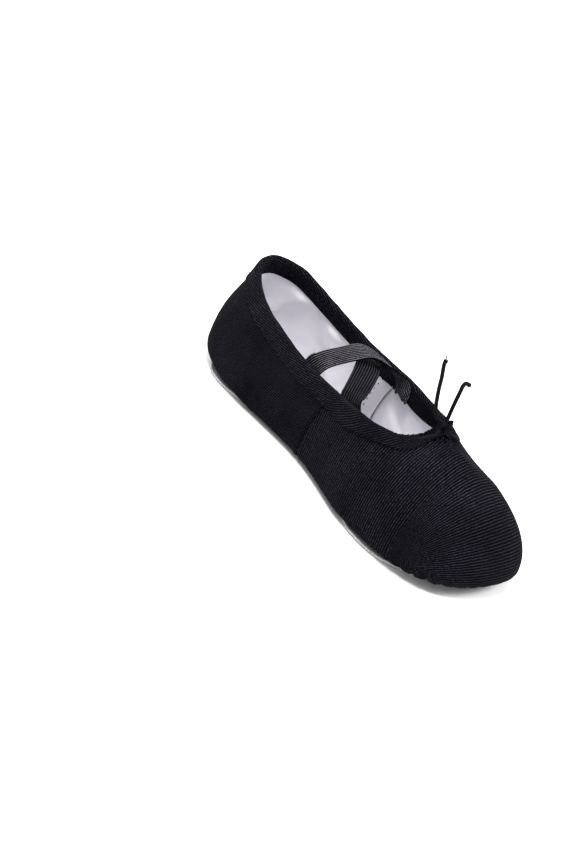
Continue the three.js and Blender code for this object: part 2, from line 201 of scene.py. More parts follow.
def skin(t, d):
    """Points of the skin, in millimetres."""
    part, side = folded(np.asarray(t, float))
    a = part * (len(lines) - 1)
    b = np.clip(np.asarray(d, float) / LINE_STEP, 0, lines.shape[1] - 1.001)
    i, j = np.minimum(a.astype(int), len(lines) - 2), b.astype(int)
    u, v = (a - i)[..., None], (b - j)[..., None]
    point = ((lines[i, j] * (1 - u) + lines[i + 1, j] * u) * (1 - v)
             + (lines[i, j + 1] * (1 - u) + lines[i + 1, j + 1] * u) * v)
    point = point * np.stack([np.ones_like(side), side, np.ones_like(side)], -1)
    sag = LEFT_SAG * np.exp(-((point[..., 0] + 42) / 26) ** 2) * (side < 0)
    point[..., 2] -= sag * (point[..., 2] / SIDE_HEIGHT) ** 2
    return point


def below(t, d, inset):
    """Points at a depth under the skin, measured square to it. A negative depth stands proud."""
    t, d, inset = np.broadcast_arrays(np.asarray(t, float), np.asarray(d, float), np.asarray(inset, float))
    down = skin(t, d + 0.8) - skin(t, np.maximum(d - 0.8, 0))
    onward = skin(t + 0.004, d) - skin(t - 0.004, d)
    outward = np.cross(down, onward)
    outward /= np.linalg.norm(outward, axis=-1)[..., None]
    return skin(t, d) - outward * inset[..., None]


def corner_at(t):
    """The distance down to where the wall has turned under and meets the flat of the sole."""
    part, _ = folded(np.asarray(t, float))
    return np.interp(part, np.linspace(0, 1, len(lines)), corner_runs)


def end_at(t):
    """The distance down to the middle of the sole."""
    part, _ = folded(np.asarray(t, float))
    return np.interp(part, np.linspace(0, 1, len(lines)), end_runs)


def right_t(x):
    """The t at which the topline on the wearer's right is at x."""
    share = share_at(topline, x)
    if share < top_seam:
        return share / top_seam * SEAM_T
    return SEAM_T + (share - top_seam) / (0.5 - top_seam) * (1 - SEAM_T)


def ramp(value, low, high):
    """A smooth step from 0 at low to 1 at high."""
    w = np.clip((np.asarray(value, float) - low) / (high - low), 0, 1)
    return w * w * (3 - 2 * w)


def drift(points, size, seed):
    """Soft noise between about -1 and 1 with lumps of the given size, at points in millimetres."""
    shift = Vector((seed * 17.3, seed * 5.1, seed * 9.7))
    flat = np.asarray(points, float).reshape(-1, 3) / size
    value = np.array([noise.noise(Vector(point) + shift) for point in flat])
    return value.reshape(np.asarray(points).shape[:-1])


# ---------------------------------------------------------------------------------------------------------
# Making a surface
# Cloth, tape and cord are each one sheet of quads laid over two runs of values, u along the piece and v
# across it. A section that closes on itself is welded along its seam, and its two ends are filled.
def surface(name, place, us, vs, uv=None, closed=False, bodies="forefoot", material=None, inside_out=False):
    """place(u, v) gives points in mm, and uv(u, v) the cloth's own coordinates in mm."""
    mesh = bmesh.new()
    mesh.loops.layers.uv.new("UVMap")
    bmesh.ops.create_grid(mesh, x_segments=len(us) - 1, y_segments=len(vs) - 1, size=1, calc_uvs=True)
    grid = np.array([vert.co[:2] for vert in mesh.verts]) * 0.5 + 0.5
    column = np.rint(grid[:, 0] * (len(us) - 1)).astype(int)
    row = np.rint(grid[:, 1] * (len(vs) - 1)).astype(int)
    u, v = np.asarray(us, float)[column], np.asarray(vs, float)[row]
    points = place(u, v) * MM
    cloth = np.stack(uv(u, v), 1) * MM if uv else grid
    for vert, point in zip(mesh.verts, points):
        vert.co = point
    layer = mesh.loops.layers.uv.active
    for face in mesh.faces:
        for loop in face.loops:
            loop[layer].uv = cloth[loop.vert.index]
    if closed:
        bmesh.ops.remove_doubles(mesh, verts=mesh.verts, dist=1e-6)
        rims = [edge for edge in mesh.edges if edge.is_boundary]
        bmesh.ops.holes_fill(mesh, edges=rims, sides=0)
        bmesh.ops.recalc_face_normals(mesh, faces=mesh.faces)
    elif inside_out:
        bmesh.ops.reverse_faces(mesh, faces=mesh.faces)
    return finished(name, mesh, material, bodies)


def finished(name, mesh, material, bodies):
    """A smooth object from a bmesh. It rides on one body, or, if it spans both, stays unparented with its
    transform baked in.
    """
    data = bpy.data.meshes.new(name)
    mesh.to_mesh(data)
    mesh.free()
    data.polygons.foreach_set("use_smooth", [True] * len(data.polygons))
    if material:
        data.materials.append(material)
    piece = bpy.data.objects.new(name, data)
    bpy.context.scene.collection.objects.link(piece)
    if bodies == "both":
        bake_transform(piece)
    else:
        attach(piece, bodies)
    return piece


def thicken(piece, thickness, offset=-1):
    """A wall of its own thickness behind a cloth sheet."""
    solid = piece.modifiers.new("thickness", "SOLIDIFY")
    solid.thickness = thickness * MM
    solid.offset = offset
    solid.use_even_offset = False
    return piece


def linear(hexcode):
    """An sRGB hex colour as linear red, green, blue and alpha."""
    channels = [int(hexcode[i:i + 2], 16) / 255 for i in (1, 3, 5)]
    return (*(c / 12.92 if c <= 0.04045 else ((c + 0.055) / 1.055) ** 2.4 for c in channels), 1)


def add(tree, kind, inputs=None, **settings):
    """A new node with its settings, and its inputs by name or number, each a value or a socket to link."""
    node = tree.nodes.new("ShaderNode" + kind)
    for key, value in settings.items():
        setattr(node, key, value)
    for key, value in (inputs or {}).items():
        if isinstance(value, bpy.types.NodeSocket):
            tree.links.new(value, node.inputs[key])
        else:
            node.inputs[key].default_value = value
    return node


def blank(name):
    """A material with an empty tree, and that tree."""
    material = bpy.data.materials.new(name)
    material.use_nodes = True
    material.node_tree.nodes.clear()
    return material, material.node_tree


def woven(name, groove, ridge, rib, turn, cross, depth, sheen, herring=0.0, fuzz=0.25, slack=0.5, worn=0.6,
          sharp=1.6):
    """Ribbed or twilled cloth on the cloth's own coordinates. rib is the distance between ribs in mm, turned
    from the u direction, cross the distance between the threads over them, depth the height of a rib, and
    herring the width of a tape whose twill turns back at its middle. fuzz speckles the ribs with lint, slack
    lets them waver, worn fades the cloth in patches, and sharp narrows the ribs."""
    material, tree = blank(name)
    cloth = add(tree, "TexCoord").outputs["UV"]
    if herring:
        apart = add(tree, "SeparateXYZ", {0: cloth}).outputs
        middle = add(tree, "Math", {0: apart["Y"], 1: herring * MM / 2}, operation="SUBTRACT").outputs[0]
        mirrored = add(tree, "Math", {0: middle}, operation="ABSOLUTE").outputs[0]
        cloth = add(tree, "CombineXYZ", {"X": apart["X"], "Y": mirrored}).outputs[0]
    waver = add(tree, "TexNoise", {"Vector": cloth, "Scale": 260, "Detail": 2}).outputs["Fac"]
    c, s = math.cos(math.radians(turn)), math.sin(math.radians(turn))
    over = add(tree, "VectorMath", {0: cloth, 1: (c / rib / MM, s / rib / MM, 0)}, operation="DOT_PRODUCT")
    count = add(tree, "Math", {0: waver, 1: slack, 2: over.outputs["Value"]}, operation="MULTIPLY_ADD")
    thread = (-s / cross / MM, c / cross / MM, 0)
    beside = add(tree, "VectorMath", {0: cloth, 1: thread}, operation="DOT_PRODUCT")
    whole = add(tree, "Math", {0: count.outputs[0]}, operation="FLOOR").outputs[0]
    offset = add(tree, "Math", {0: whole, 1: 0.5, 2: beside.outputs["Value"]}, operation="MULTIPLY_ADD")
    waves = []
    for value in (count.outputs[0], offset.outputs[0]):
        angle = add(tree, "Math", {0: value, 1: math.tau}, operation="MULTIPLY").outputs[0]
        wave = add(tree, "Math", {0: angle}, operation="COSINE").outputs[0]
        waves.append(add(tree, "Math", {0: wave, 1: -0.5, 2: 0.5}, operation="MULTIPLY_ADD").outputs[0])
    broken = add(tree, "Math", {0: waves[1], 1: 0.8, 2: 0.2}, operation="MULTIPLY_ADD").outputs[0]
    narrow = add(tree, "Math", {0: waves[0], 1: sharp}, operation="POWER").outputs[0]
    height = add(tree, "Math", {0: narrow, 1: broken}, operation="MULTIPLY").outputs[0]
    lint = add(tree, "TexNoise", {"Vector": cloth, "Scale": 1500, "Detail": 3, "Roughness": 0.7})
    lint = lint.outputs["Fac"]
    patch = add(tree, "TexNoise", {"Vector": cloth, "Scale": 38, "Detail": 3}).outputs["Fac"]
    bright = height
    for grain, amount in ((lint, fuzz * 10), (patch, worn * 3)):
        scale = add(tree, "Math", {0: grain, 1: amount, 2: 1 - amount / 2}, operation="MULTIPLY_ADD")
        scale = add(tree, "Math", {0: scale.outputs[0], 1: 0}, operation="MAXIMUM").outputs[0]
        bright = add(tree, "Math", {0: bright, 1: scale}, operation="MULTIPLY").outputs[0]
    # The colour runs from groove in the rib's hollows to ridge on its crests: painted shade in the hollows
    # and a painted highlight on the crests.
    colour = add(tree, "Mix", {"Factor": bright, "A": linear(groove), "B": linear(ridge)}, data_type="RGBA",
                 clamp_factor=False)
    fibre = add(tree, "Math", {0: lint, 1: 0.3, 2: height}, operation="MULTIPLY_ADD").outputs[0]
    bump = add(tree, "Bump", {"Height": fibre, "Strength": 1.0, "Distance": depth * MM})
    shader = add(tree, "BsdfPrincipled", {"Base Color": colour.outputs["Result"], "Roughness": 0.9,
                                          "Normal": bump.outputs[0], "Sheen Weight": sheen,
                                          "Sheen Roughness": 0.45, "Specular IOR Level": 0.03})
    add(tree, "OutputMaterial", {0: shader.outputs[0]})
    return material


# ---------------------------------------------------------------------------------------------------------
# Vamp and quarter
# The upper is two pieces of black ribbed cotton canvas, joined by a seam at each side. The ribs run straight
# across the vamp. At the toe the canvas is gathered into pleats where it turns under, and at the throat the
# drawstring pulls it into short puckers.
CANVAS_THICK = 0.9
CANVAS_TOP = 4.6
# CANVAS_GROOVE is painted shade in the hollows of the ribs and CANVAS_RIDGE a painted highlight on their
# crests.
CANVAS_GROOVE, CANVAS_RIDGE = "#010103", "#363540"
RIB = 1.5
TWILL = 1.15
PLEATS = 34
PLEAT_DEPTH = 1.5
OPENINGS = ((-80, 22, 14), (60, 31, 20))

vamp_canvas_material = woven("ribbed_cotton_canvas", CANVAS_GROOVE, CANVAS_RIDGE, RIB, 0, 0.8, 0.45, 0,
                             fuzz=1.0, sharp=3.6)
# The quarter's ridge colour is darker than the vamp's: painted shade, as the quarter lies more in shade than
# the vamp.
quarter_canvas_material = woven("twilled_cotton_canvas", CANVAS_GROOVE, "#292833", TWILL, 17.5, 0.7, 0.4, 0,
                                fuzz=0.8, worn=0.9, sharp=2.4)

TOE_AXIS_X, TOE_AXIS_Z = 74, 3
RIB_SKEW = 0.3
centre_d = np.linspace(0, float(corner_at(1)) + 5, 500)
centre_x, _, centre_z = skin(np.ones(500), centre_d).T
centre_turn = np.arctan2(centre_x - TOE_AXIS_X, centre_z - TOE_AXIS_Z)


def straight_across(t, d):
    """The vamp's cloth coordinates. Its ribs are upright planes behind TOE_AXIS_X, a little askew, and in
    front of it they fan round a level axis across the toes, as the cloth is pulled down over them."""
    x, y, z = skin(t, d).T
    x = x + RIB_SKEW * y
    top = centre_turn <= 0
    behind = np.interp(x, centre_x[top], centre_d[top])
    behind = np.where(x < THROAT_X, x - THROAT_X, behind)
    turn = np.arctan2(x - TOE_AXIS_X, z - TOE_AXIS_Z)
    ahead = np.interp(turn, centre_turn[~top], centre_d[~top])
    return np.where(x < TOE_AXIS_X, behind, ahead), np.arctan2(y, z - 5) * 38


def round_the_heel(t, d):
    """The quarter's cloth coordinates: how far round the foot, and how far down."""
    return (np.asarray(t) - 2) * 262, d


def low_edge(t):
    """The distance down to where the cloth stops under the sole: at an egg-shaped opening over each patch,
    and at the middle of the arch between them."""
    part, _ = folded(np.asarray(t, float))
    edges = []
    for value in part:
        run = np.arange(float(corner_at(value)), float(end_at(value)) - 0.05, 0.25)
        x, y, _ = skin(np.full(len(run), value), run).T
        inside = np.any([((x - cx) / a) ** 2 + (y / b) ** 2 < 1 for cx, a, b in OPENINGS], axis=0)
        edges.append(run[np.argmax(inside)] if inside.any() else float(end_at(value)) - 0.02)
    return np.array(edges)


def gathers(t, d):
    """How far the canvas is drawn in, in mm, at the toe's pleats and at the throat's puckers."""
    around = np.abs(np.asarray(t) - 1)
    wobble = 0.35 * drift(np.stack([t * 400, d * 0.6, 0 * t], -1), 14, 3)
    fold = 1 - np.abs(np.sin(math.pi * (PLEATS * (t - 1) + wobble)))
    toe = PLEAT_DEPTH * (fold ** 2 - 0.25) * ramp(around, 0.30, 0.12) * ramp(d - corner_at(t), -24, -8)
    ripple = 0.5 + 0.5 * np.cos(math.tau * (t - 1) * 34 + 3 * wobble)
    throat = 0.5 * ripple * ramp(around, 0.22, 0.03) * ramp(d, 22, 6)
    return toe + throat


def from_seam(t):
    """The distance round the cloth to the nearer side seam, in mm, roughly."""
    part, _ = folded(np.asarray(t, float))
    return np.abs(part - SEAM_T) * 250


def neck(t, d):
    """How far the upper sinks in front of the throat, in mm, where the drawstring pulls it in. It sinks
    further on the wearer's left."""
    from_throat = np.mod(t, 2) - 1
    left = 2.6 * ramp(from_throat, 0.02, 0.09) * ramp(from_throat, 0.34, 0.16) * ramp(d, 34, 12)
    return 2.4 * ramp(np.abs(from_throat), 0.22, 0.04) * ramp(d, 17, 6) + left


def canvas(inset):
    """Where a point of the canvas lies: on the last, with slow waves in the cloth, its gathers, and its edge
    turned in at the side seams."""
    def place(t, share):
        d = CANVAS_TOP + share * (edge_of(t) - CANVAS_TOP)
        waves = 0.35 * drift(skin(t, d), 26, 1) * ramp(corner_at(t) - d, 0, 12)
        near = from_seam(t)
        turned_in = 0.6 * np.exp(-(near / 0.5) ** 2) - 0.25 * np.exp(-((near - 2.4) / 1.5) ** 2)
        return below(t, d, inset + gathers(t, d) + neck(t, d) - waves + turned_in * ramp(d, 8, 14))
    return place


def edge_of(t):
    return np.interp(t, edge_ts, edge_ds)


edge_ts = np.linspace(0, 3, 1201)
edge_ds = low_edge(edge_ts)
SEAM_GAP = 0.00015
near_seam = np.array([0, 0.001, 0.002, 0.003, 0.0042, 0.0056, 0.0075])
vamp_ts = np.linspace(SEAM_T + 0.01, 2 - SEAM_T - 0.01, 300)
vamp_ts = np.concatenate([SEAM_T + SEAM_GAP + near_seam, vamp_ts, (2 - SEAM_T - SEAM_GAP - near_seam)[::-1]])
quarter_ts = np.linspace(2 - SEAM_T + 0.01, 2 + SEAM_T - 0.01, 260)
quarter_ts = np.concatenate([2 - SEAM_T + SEAM_GAP + near_seam, quarter_ts,
                             (2 + SEAM_T - SEAM_GAP - near_seam)[::-1]])
down_shares = np.concatenate([np.linspace(0, 0.72, 70), np.linspace(0.72, 1, 50)[1:]])


def at_depth(uv):
    """Cloth coordinates for a sheet that runs from under the binding to the low edge."""
    return lambda t, share: uv(t, CANVAS_TOP + share * (edge_of(t) - CANVAS_TOP))


for name, ts, uv, material in (("vamp", vamp_ts, straight_across, vamp_canvas_material),
                               ("quarter", quarter_ts, round_the_heel, quarter_canvas_material)):
    piece = surface(name + "_of_canvas", canvas(0), ts, down_shares, at_depth(uv), bodies="both",
                    material=material, inside_out=True)
    thicken(piece, CANVAS_THICK)
    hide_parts(name + "_canvas")


# ---------------------------------------------------------------------------------------------------------
# Side seam stitches
# Each side seam is a lapped seam, held by one row of black topstitching on the quarter.
black_thread_material = woven("black_sewing_thread", "#040407", "#26252c", 0.35, 60, 0.4, 0.05, 0.02, slack=0)


def stitches(name, line, outward, pitch, size, material, bodies, sway=0.0):
    """Separate stitches along a line in mm. size is the length, width and height of each grain of thread."""
    line, outward = np.asarray(line, float), np.asarray(outward, float)
    run = lengths(line)
    ahead = np.gradient(line, axis=0)
    mesh = bmesh.new()
    mesh.loops.layers.uv.new("UVMap")
    for place in np.arange(pitch / 2, run[-1], pitch):
        centre, onward, out = (Vector([np.interp(place, run, part[:, k]) for k in range(3)])
                               for part in (line, ahead, outward))
        onward.normalize()
        side = out.cross(onward).normalized()
        onward = (onward + side * random.uniform(-sway, sway)).normalized()
        out, side = onward.cross(out.cross(onward)).normalized(), out.cross(onward).normalized()
        axes = [axis * extent / 2 * MM for axis, extent in zip((onward, side, out), size)]
        turned = Matrix.Translation(centre * MM) @ Matrix(axes).transposed().to_4x4()
        bmesh.ops.create_uvsphere(mesh, u_segments=8, v_segments=6, radius=1, matrix=turned, calc_uvs=True)
    return finished(name, mesh, material, bodies)


def round_cord(line, radius):
    """place(u, v) for a cord of a radius along a line in mm, or of a radius that varies with u and v. u is a
    share of its length, and v a share of a turn."""
    line = np.asarray(line, float)
    ahead = np.gradient(line, axis=0)
    ahead /= np.linalg.norm(ahead, axis=1)[:, None]
    sides = [np.cross(ahead[0], (0.31, 0.22, 0.92))]
    for onward in ahead:
        kept = sides[-1] - onward * sides[-1].dot(onward)
        sides.append(kept / np.linalg.norm(kept))
    sides = np.array(sides[1:])
    ups = np.cross(ahead, sides)
    share = lengths(line)
    share /= share[-1]

    def place(u, v):
        centre, side, up = (np.stack([np.interp(u, share, part[:, k]) for k in range(3)], -1)
                            for part in (line, sides, ups))
        reach = radius(u, v) if callable(radius) else radius
        turn = v * math.tau
        out = side * np.cos(turn)[:, None] + up * np.sin(turn)[:, None]
        return centre + out * np.reshape(reach, (-1, 1))
    return place


def cord(name, line, radius, rings, material, bodies, segments=12):
    """A closed round cord."""
    long = lengths(np.asarray(line, float))[-1]
    return surface(name, round_cord(line, radius), np.linspace(0, 1, rings), np.linspace(0, 1, segments + 1),
                   lambda u, v: (u * long, v * 5), closed=True, bodies=bodies,
                   material=material)


def outward_at(t, d):
    """The direction out of the skin."""
    out = below(t, d, np.zeros_like(np.asarray(d, float))) - below(t, d, np.ones_like(np.asarray(d, float)))
    return out / np.linalg.norm(out, axis=-1)[..., None]


for side, seam_t in (("right", SEAM_T - 0.009), ("left", 2 - SEAM_T + 0.009)):
    d = np.linspace(12, float(corner_at(SEAM_T)) + 4, 60)
    t = np.full(60, seam_t)
    stitches(side + "_seam_stitches", below(t, d, -0.25), outward_at(t, d), 2.6, (1.9, 0.5, 0.35),
             black_thread_material, "both", sway=0.1)


# ---------------------------------------------------------------------------------------------------------
# Lining
# Pale lilac plain cotton behind both canvases. It is cut a little large, and lies in soft folds.
LINING_INSET, LINING_THICK = 1.35, 0.45
lining_material = woven("plain_lining_cotton", "#d5d3d9", "#eeedf2", 0.55, 45, 0.55, 0.06, 0.1, fuzz=0.1,
                        slack=0.2, worn=0.15)


LINING_SEAM_T = 0.374
CREASES = [((1.892, 12), (1.942, 35), 2.3, 4.5), ((1.60, 20), (1.47, 38), 1.1, 5),
           ((1.80, 14), (1.76, 40), 1.6, 5), ((0.25, 14), (0.2, 38), 1.2, 5)]


def creased(t, d):
    """How far the lining stands off in its long soft folds. Each is a line from one (t, d) to another, with a
    height and a width in mm."""
    lift = np.zeros_like(np.asarray(t, float))
    for (t0, d0), (t1, d1), height, wide in CREASES:
        share = (d - d0) / (d1 - d0)
        off = (np.mod(t, 2) - (t0 + (t1 - t0) * share)) * 250
        fade = ramp(share, -0.4, 0.1) * ramp(share, 1.4, 0.9)
        width = np.where(off < 0, wide, wide * 2.2)
        lift += height * fade * np.exp(-(off / width) ** 2)
    return lift


def lining(t, share):
    """Where a point of the lining lies."""
    d = CANVAS_TOP + share * (edge_of(t) - CANVAS_TOP)
    points = skin(t, d)
    folds = 1.3 * drift(points * (1, 1, 0.5), 16, 5) + 0.4 * drift(points, 6, 6) + creased(t, d)
    folds = (folds + 0.3) * ramp(d, 9, 16) * ramp(edge_of(t) - d, 2, 12)
    folds *= ramp(np.abs(folded(t)[0] - LINING_SEAM_T) * 250, 4, 12)
    return below(t, d, LINING_INSET + gathers(t, d) + neck(t, d) + np.maximum(folds, -0.1))


lining_vamp_ts = np.linspace(LINING_SEAM_T + SEAM_GAP, 2 - LINING_SEAM_T - SEAM_GAP, 320)
lining_quarter_ts = np.linspace(2 - LINING_SEAM_T + SEAM_GAP, 2 + LINING_SEAM_T - SEAM_GAP, 260)
for name, ts in (("vamp", lining_vamp_ts), ("quarter", lining_quarter_ts)):
    piece = surface(name + "_cotton_lining", lining, ts, down_shares, at_depth(round_the_heel), bodies="both",
                    material=lining_material, inside_out=True)
    thicken(piece, LINING_THICK)
    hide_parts(name + "_lining")


# ---------------------------------------------------------------------------------------------------------
# Seam tapes
# The lining's own seams lie behind the canvas's, and a flat cotton tape covers each one inside. A row of
# sewing goes through it, and leaves needle holes, and its front edge is folded under. A thin dark cord along
# that fold is painted shade.
TAPE_WIDE = 10
# One dark material marks the needle holes and paints the shade line under each tape's folded edge.
hole_and_shade_material, tree = blank("needle_holes")
shader = add(tree, "BsdfPrincipled", {"Base Color": linear("#2b2833"), "Roughness": 1.0})
add(tree, "OutputMaterial", {0: shader.outputs[0]})

for side, seam_t, back in (("right", LINING_SEAM_T, -1), ("left", 2 - LINING_SEAM_T, 1)):
    def seam_tape(u, v, seam_t=seam_t, back=back):
        off = back * (v - 0.5) * TAPE_WIDE
        front = ramp(off, -TAPE_WIDE / 2 + 1.2, -TAPE_WIDE / 2 + 0.2)
        t = seam_t + (v - 0.5) * TAPE_WIDE / 250
        return below(t, u, 2.3 + 0.2 * drift(skin(t, u), 7, 9) + 0.5 * front)

    downs = np.linspace(9, float(corner_at(seam_t)) + 6, 60)
    piece = surface(side + "_cotton_seam_tape", seam_tape, downs, np.linspace(0, 1, 25),
                    lambda u, v: (u, v * TAPE_WIDE), bodies="both", material=lining_material)
    thicken(piece, 0.4)
    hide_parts(side + "_seam_tape")
    t = np.full(60, seam_t + back * 3 / 250)
    stitches(side + "_seam_needle_holes", below(t, downs, 2.75), outward_at(t, downs), 3.9, (1.1, 0.9, 0.2),
             hole_and_shade_material, "both", sway=0.3)
    t = np.full(60, seam_t - back * (TAPE_WIDE / 2 + 0.1) / 250)
    # A thin dark cord along the folded edge: painted shade under the fold.
    cord(side + "_folded_tape_edge_shade_line", below(t, downs, 2.6), 0.16, 60, hole_and_shade_material, "both", segments=6)


# ---------------------------------------------------------------------------------------------------------
# Binding
# A black herringbone tape is folded over the edge as a casing for the drawstring. Its outer leg lies flat on
# the canvas, and it bunches up towards the throat, where the cord gathers it.
TAPE_THICK = 0.7
ROLL = 2.175
ROLL_INSET = 0.925
BINDING_DEPTH = 10.5
THROAT_GAP = 0.005
LOBE = 3.2
tape_material = woven("herringbone_binding_tape", "#010103", "#383641", 1.25, 68, 0.6, 0.45, 0, herring=23.5,
                      slack=0.6, fuzz=1.1, sharp=3.4)


def tape_section(s):
    """Inset, distance down and the outward direction, at a distance round the tape's section in mm."""
    leg = BINDING_DEPTH - ROLL
    arc = math.pi * ROLL
    angle = np.clip((s - leg) / ROLL, 0, math.pi)
    inset = ROLL_INSET - ROLL * np.cos(angle)
    depth = ROLL - ROLL * np.sin(angle)
    depth = depth + np.maximum(leg - s, 0) + np.maximum(s - leg - arc, 0)
    return inset, depth, angle


def binding(t, s):
    """Where a point of the tape lies. Near the throat it is drawn into folds, and on the wearer's left of the
    knot it stands up in one lobe."""
    inset, depth, angle = tape_section(s)
    from_throat = np.mod(t, 2) - 1
    near = np.abs(from_throat)
    bunch = ramp(near, 0.34, 0.03)
    knotted = np.where(from_throat > 0, ramp(near, 0.36, 0.14), ramp(near, 0.20, 0.04))
    inner, outer, low = ramp(angle, 1.8, 3.1), ramp(angle, 1.3, 0), ramp(s, 6, 2)
    depth = depth * (1 - 0.58 * knotted * outer - 0.3 * knotted * inner)
    points = skin(t, depth)
    wobble = drift(points, 9, 12) + 0.5 * drift(points, 4, 15)
    fold = 1 - np.abs(np.sin(math.tau * (t * 17 + 0.75 * wobble) + 0.2 * s))
    small = 1 - np.abs(np.sin(math.tau * (t * 41 + 0.6 * wobble) - 0.35 * s))
    small *= 1 - 0.7 * ramp(from_throat, 0, 0.02) * ramp(from_throat, 0.12, 0.07)
    lift = 0.28 * drift(points, 8, 11) + bunch * (1 - 0.6 * low) * (0.6 * (0.4 - fold) + 0.4 * (0.4 - small))
    lift -= 0.45 * low
    lift += inner * bunch * 0.5 * (1 + drift(points, 5, 13))
    lift += ramp(near, 0.09, 0.02) * (0.7 + 0.7 * drift(points, 4.5, 16)) * (1 - low)
    lobe = np.exp(-((from_throat - 0.036) / 0.024) ** 2) * (1 - inner) * (1 - low)
    lift += LOBE * lobe * (0.6 + 0.4 * np.sin(angle))
    lift *= ramp(near, 0.003, 0.018)
    inset = inset + neck(t, 6) * outer
    place = below(t, depth, inset - np.cos(angle) * lift)
    place[:, 2] += np.sin(angle) * lift + 0.45 * drift(skin(t, depth * 0), 17, 14)
    place[:, 2] += 0.8 * ramp(near, 0.10, 0.02)
    return place


tape_long = 2 * (BINDING_DEPTH - ROLL) + math.pi * ROLL
leg_long = BINDING_DEPTH - ROLL
across_tape = np.concatenate([np.linspace(0, leg_long, 11),
                              np.linspace(leg_long, tape_long - leg_long, 15)[1:],
                              np.linspace(tape_long - leg_long, tape_long, 11)[1:]])
binding_ts = np.linspace(1 + THROAT_GAP, 3 - THROAT_GAP, 900)
piece = surface("bound_topline", binding, binding_ts, across_tape, lambda t, s: (t * 192, s), bodies="both",
                material=tape_material)
thicken(piece, TAPE_THICK)
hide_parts("topline_binding")

t = np.linspace(1 + THROAT_GAP, 3 - THROAT_GAP, 900)
for side, s, proud in (("outer", 1.3, 0.12), ("inner", tape_long - 1.3, 0.12)):
    line = binding(t, np.full(900, s))
    beyond = binding(t, np.full(900, s + 0.5)) - line
    outward = np.cross(np.gradient(line, axis=0), beyond)
    outward /= np.linalg.norm(outward, axis=1)[:, None]
    piece = stitches(side + "_binding_stitches", line + outward * proud, outward, 2.9, (2.1, 0.5, 0.4),
                     black_thread_material, "both", sway=0.08)
    if side == "outer":
        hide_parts("binding_stitching")


# ---------------------------------------------------------------------------------------------------------
# Drawstring
# A thin black braided cord runs in the casing. It comes out at the throat, where it is tied in an overhand
# knot, and its two cut ends stand up stiffly.
CORD_RADIUS = 0.9
END_RADIUS = 1.04
CORD_INSET, CORD_DEPTH = 0.925, 3.0
CORD_T = 0.0235
knot_middle = np.array([THROAT_X - 1, 0, THROAT_HEIGHT + 1.2])
cord_material = woven("braided_cotton_cord", "#040405", "#2b2b2e", 0.8, 55, 0.45, 0.16, 0.02, slack=0.1)


t = np.linspace(1 + CORD_T, 3 - CORD_T, 500)
rise = ramp(np.minimum(t - 1, 3 - t), CORD_T + 0.02, CORD_T)
piece = cord("cord_in_casing", below(t, CORD_DEPTH - 1.6 * rise, CORD_INSET * (1 - rise)), CORD_RADIUS, 400,
             cord_material, "both")
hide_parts("drawstring")

w = np.linspace(0, math.tau, 160)
trefoil = np.stack([np.sin(w) + 2 * np.sin(2 * w), -np.sin(3 * w) * 1.2, np.cos(w) - 2 * np.cos(2 * w)], 1)
trefoil *= 0.62
piece = cord("overhand_knot", knot_middle + trefoil, CORD_RADIUS * 0.95, 160, cord_material, "forefoot")
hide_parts("drawstring_knot")

CORD_ENDS = {
    "right": [(-0.9, -2.4, 1.6), (-3.3, -3.4, 4.9), (-3.9, -4.3, 7.9), (-4.8, -5.8, 15.9), (-5.3, -6.7, 22.8),
              (-5.9, -8, 30.2), (-5.7, -7.9, 32)],
    "left": [(1.3, 1, 2.5), (1.2, 1.2, 7.3), (3, -0.6, 13.3), (5.6, -3, 20.6), (8, -5.2, 26.6),
             (9.8, -6, 28.9), (12.5, -6.4, 29.6)],
}
for side, offsets in CORD_ENDS.items():
    line = smooth_line(knot_middle + np.array(offsets, float), 80)
    swell = lambda u, v: END_RADIUS * (1 - 0.1 * ramp(u, 0.05, 0.0) + 0.1 * ramp(u, 0.955, 0.985))
    piece = cord(side + "_cord_end", line, swell, 90, cord_material, "forefoot")
    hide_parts("drawstring_end_" + side)
    tip, ahead = Vector(line[-1]), Vector(line[-1] - line[-3]).normalized()
    for i in range(7 if side == "right" else 4):
        splay = Vector([random.uniform(-1, 1) for _ in range(3)])
        start = tip + splay * 0.4 - ahead * 0.6
        end = start + ahead * random.uniform(1.5, 2.4) + splay * 0.9
        thread = smooth_line([start, start + ahead * 1.1 + splay * 0.25, end], 12)
        cord(f"{side}_frayed_thread_{i}", thread, 0.13, 12, cord_material, "forefoot", segments=6)


# ---------------------------------------------------------------------------------------------------------
# Elastics
# Two ribbed black elastics cross over the instep. Each end goes down inside the binding and is sewn flat to
# the lining with a zigzag tack.
STRAP_WIDTH, STRAP_THICK, STRAP_RIDGES = 13, 1.0, 10
STRAP_SEWN = [(8.5, 6.0), (7, 6.0), (5.5, 5.8)]
STRAPS = {
    "over": (-22, -2, [(-20.4, -22.5, 48), (-20.4, -15, 51), (-20.3, -6, 53.4), (-21.2, 5, 53.8),
                        (-20, 13, 51.9), (-15.6, 19.4, 48.4), (-8.6, 22.9, 44)]),
    "under": (13, -36, [(9.6, -21.8, 44.2), (1.6, -13, 48), (-5.6, -5, 49.2), (-14, 3.6, 48.8),
                        (-22.3, 11, 47.2), (-30, 18.2, 45)]),
}
# The elastic over the top has light ridges and the one under it dark ones: a lit and a shaded copy of one
# black elastic, the under one in painted shade.
ELASTIC_LIT_AND_SHADED_RIDGES = {"over": "#85828a", "under": "#48454d"}
strap_section = np.concatenate([np.linspace(0, 1, 61), np.linspace(1, 2, 32)[1:]])
